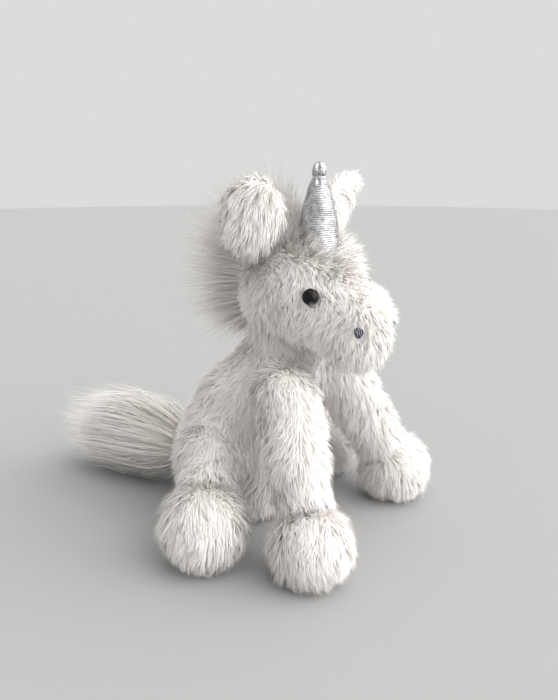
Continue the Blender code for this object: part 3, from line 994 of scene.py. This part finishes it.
# The height and radius of the horn's outline, from its root to the top of its knob
HORN_OUTLINE = [
    (-0.005, 0.0126), (0.0, 0.0126), (0.007, 0.0121), (0.0205, 0.0092),
    (0.0310, 0.0064), (0.0345, 0.0047), (0.0365, 0.0032), (0.0385, 0.0041),
    (0.0405, 0.0046), (0.0428, 0.0043), (0.0447, 0.0029), (0.0455, 0.0010),
]
HORN_RINGS, HORN_STEPS = 230, 84
TIED_AT = 0.0365  # where the thread gathers the cloth under the knob
KNOB_AT = 0.0425
RIDGE_PITCH = 0.00125
THREAD_TURNS, THREAD_STEPS, THREAD_SIDES = 3, 48, 8
THREAD_RADIUS = 0.0003
THREAD_OUT = 0.0038  # from the horn's axis to the thread's
STITCHES, STITCH_SIDES = 9, 7
STITCH_RADIUS = 0.00027
WISPS = 34
WISP_ROOT = 0.0062  # how far from the middle of the eye its stray strands start


def make_horn():
    rng = np.random.default_rng(71)
    waves = [(rng.integers(1, 6), rng.uniform(60, 420), rng.uniform(0, 6.3)) for _ in range(14)]
    heights, radii = zip(*HORN_OUTLINE)
    top = heights[-1]
    profile = []
    for z in np.linspace(heights[0], top, HORN_RINGS):
        profile.append((float(np.interp(z, heights, radii)), float(z)))
    profile.append((0.0, top - 0.0001))

    def crinkled(radius, height, angle):
        """Fine broken ridges across the cone, folds at the thread and a lobed knob."""
        slope = sum(math.sin(k * angle + f * height + p) for k, f, p in waves) / len(waves)
        fold = math.exp(-(((height - TIED_AT) / 0.0042) ** 2))
        broken = 0.55 + 0.9 * abs(math.sin(7 * angle + height * 900 + 3 * slope))
        ripple = 0.9 * math.sin(3 * angle + height * 260)
        ridge = math.sin(2 * math.pi * height / RIDGE_PITCH + 3.4 * slope + ripple)
        body = 1.0 if height < 0.034 else 0.3
        r = radius + ridge * 0.00013 * body * broken + slope * 0.0010 * min(1.0, radius / 0.006)
        r += fold * 0.00050 * math.cos(9 * angle + 2 * slope)
        knob = math.exp(-(((height - KNOB_AT) / 0.0030) ** 2))
        r += knob * (0.00055 * math.cos(6 * angle + 1.2) + 0.00045 * math.cos(2 * angle) - 0.0005)
        return r, height + slope * 0.0004

    up = Vector((0, 0, 1))
    cloth = turned("horn_cloth", profile, HORN_STEPS, HORN_SEAT, up, [LAME], crinkled)
    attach(cloth, "head")
    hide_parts("horn_cover")


def make_binding():
    """The turns of thread that tie off the horn's knob, each a ring."""
    bm = bmesh.new()
    for number in range(THREAD_TURNS):
        height = TIED_AT + (number - 1) * 2 * THREAD_RADIUS
        ring = []
        for i in range(THREAD_STEPS):
            angle = 2 * math.pi * i / THREAD_STEPS
            wobble = 0.00012 * math.sin(3 * angle + number * 2)
            centre = HORN_SEAT + Vector((0, 0, height + wobble))
            out = Vector((math.cos(angle), math.sin(angle), 0))
            row = []
            for j in range(THREAD_SIDES):
                a = 2 * math.pi * j / THREAD_SIDES
                place = centre + out * (THREAD_OUT + THREAD_RADIUS * math.cos(a))
                row.append(bm.verts.new(place + Vector((0, 0, THREAD_RADIUS * math.sin(a)))))
            ring.append(row)
        for i in range(THREAD_STEPS):
            for j in range(THREAD_SIDES):
                a, b = ring[i], ring[(i + 1) % THREAD_STEPS]
                following = (j + 1) % THREAD_SIDES
                bm.faces.new([a[j], b[j], b[following], a[following]])
    bmesh.ops.recalc_face_normals(bm, faces=bm.faces[:])
    binding = new_piece("horn_thread", bm, [SILVER_THREAD])
    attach(binding, "head")
    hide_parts("horn_tip_binding")


def make_eyes():
    """Domed bead eyes, each with a rim and the post that its washer holds."""
    for word, (point, normal) in EYES.items():
        seat = point - normal * 0.0006
        profile = []
        for i in range(17):
            angle = math.pi / 2 * i / 16
            profile.append((EYE_RADIUS * math.sin(angle), EYE_DOME * math.cos(angle)))
        rim = [(0.00485, -0.0004), (0.0045, -0.0007)]
        post = [(0.0016, -0.0007), (0.0015, -0.0112), (0, -0.0112)]
        profile += rim + post
        eye = turned("bead_eye_" + word, profile, 48, seat, normal, [EYE_BLACK])
        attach(eye, "head")
        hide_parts("eye_" + word)


def make_eye_wisps():
    """A few strands of the face pile that have strayed over the lower front rim of each eye."""
    rng = np.random.default_rng(75)
    for word, (point, normal) in EYES.items():
        axis = np.array(normal)
        front = np.array(FORWARD)
        front = unit((front - axis * (front @ axis))[None])[0]
        below = np.array([0, 0, -1.0])
        below = unit((below - axis * (below @ axis))[None])[0]
        count, steps = WISPS, 6
        turn = np.radians(rng.uniform(-20, 110, count))
        out = np.cos(turn)[:, None] * front + np.sin(turn)[:, None] * below
        across = np.cos(turn)[:, None] * below - np.sin(turn)[:, None] * front
        reach = WISP_ROOT - rng.triangular(0.0006, 0.0012, 0.0042, count)
        slant = rng.normal(-0.0014, 0.0010, count)
        t = np.linspace(0, 1, steps)[None, :]
        beside = WISP_ROOT * (1 - t) + reach[:, None] * t
        dome = EYE_DOME * np.sqrt(np.clip(1 - (beside / EYE_RADIUS) ** 2, 0, 1))
        height = dome + 0.0001 + 0.0004 * t
        height -= np.clip(beside - EYE_RADIUS, 0, 1) * 0.8
        paths = np.array(point) + out[:, None, :] * beside[:, :, None] + axis * height[:, :, None]
        paths += across[:, None, :] * (slant[:, None] * t)[:, :, None]
        tones = np.full((count, steps - 1), 3)
        shading = np.tile(axis, (count, 1))
        name = "eye_wisps_" + word
        widths = [0.00013, 0.00013, 0.00012, 0.00011, 0.00008]
        piece = strand_mesh(name, paths, unit(across), widths, tones, PILE_TONES, shading)
        settle_pile(piece, "head")


def add_tube(bm, points, radius):
    """A round closed tube along the points."""
    rings = []
    for i, point in enumerate(points):
        along = (points[min(i + 1, len(points) - 1)] - points[max(i - 1, 0)]).normalized()
        turn = along.to_track_quat("Z", "Y").to_matrix()
        ring = []
        for j in range(STITCH_SIDES):
            a = 2 * math.pi * j / STITCH_SIDES
            beside = Vector((radius * math.cos(a), radius * math.sin(a), 0))
            ring.append(bm.verts.new(point + turn @ beside))
        rings.append(ring)
    for a, b in zip(rings, rings[1:]):
        for j in range(STITCH_SIDES):
            following = (j + 1) % STITCH_SIDES
            bm.faces.new([a[j], a[following], b[following], b[j]])
    bm.faces.new(rings[0][::-1])
    bm.faces.new(rings[-1])


def make_nostrils():
    """Satin stitches side by side, fanned out at the top and gathered at the foot."""
    rng = np.random.default_rng(81)
    for word, (point, normal) in NOSTRILS.items():
        turn = normal.to_track_quat("Z", "Y").to_matrix()
        centre = point - normal * 0.0012
        bm = bmesh.new()
        half = STITCHES // 2
        for k in range(STITCHES):
            fan = (k - half) / half
            top = Vector((fan * 0.0024 + rng.normal(0, 0.0002), 0.0033 - 0.0011 * fan**2, 0))
            foot = Vector((fan * 0.0009 + rng.normal(0, 0.0002), -0.0030 + 0.0006 * abs(fan), 0))
            points = []
            for i in range(9):
                share = i / 8
                place = top.lerp(foot, share)
                place.x += fan * 0.0009 * math.sin(math.pi * share)
                place.z = 0.0011 * math.sin(math.pi * share) - 0.0004 + 0.0002 * (k % 2)
                points.append(centre + turn @ place)
            add_tube(bm, points, STITCH_RADIUS)
        bmesh.ops.recalc_face_normals(bm, faces=bm.faces[:])
        stitch = new_piece("nostril_thread_" + word, bm, [NAVY])
        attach(stitch, "head")
        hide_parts("nostril_stitch_" + word)


make_horn()
make_binding()
make_eyes()
make_eye_wisps()
make_nostrils()


# The CAD nodes that stay: filling, beans, washers and sewn tabs


def finish_nodes():
    for name, node in nodes.items():
        if name.endswith("_stuffing"):
            material = FILLING
        elif name.endswith("_beans") or name == "seat_bean_bag":
            material = POUCH
        elif name.startswith("eye_washer"):
            material = WASHER_WHITE
        elif name in ("tail_tab", "mane_backing"):
            material = BACKING
        else:
            continue
        node.data.materials.clear()
        node.data.materials.append(material)


finish_nodes()
add_camera()
add_studio()
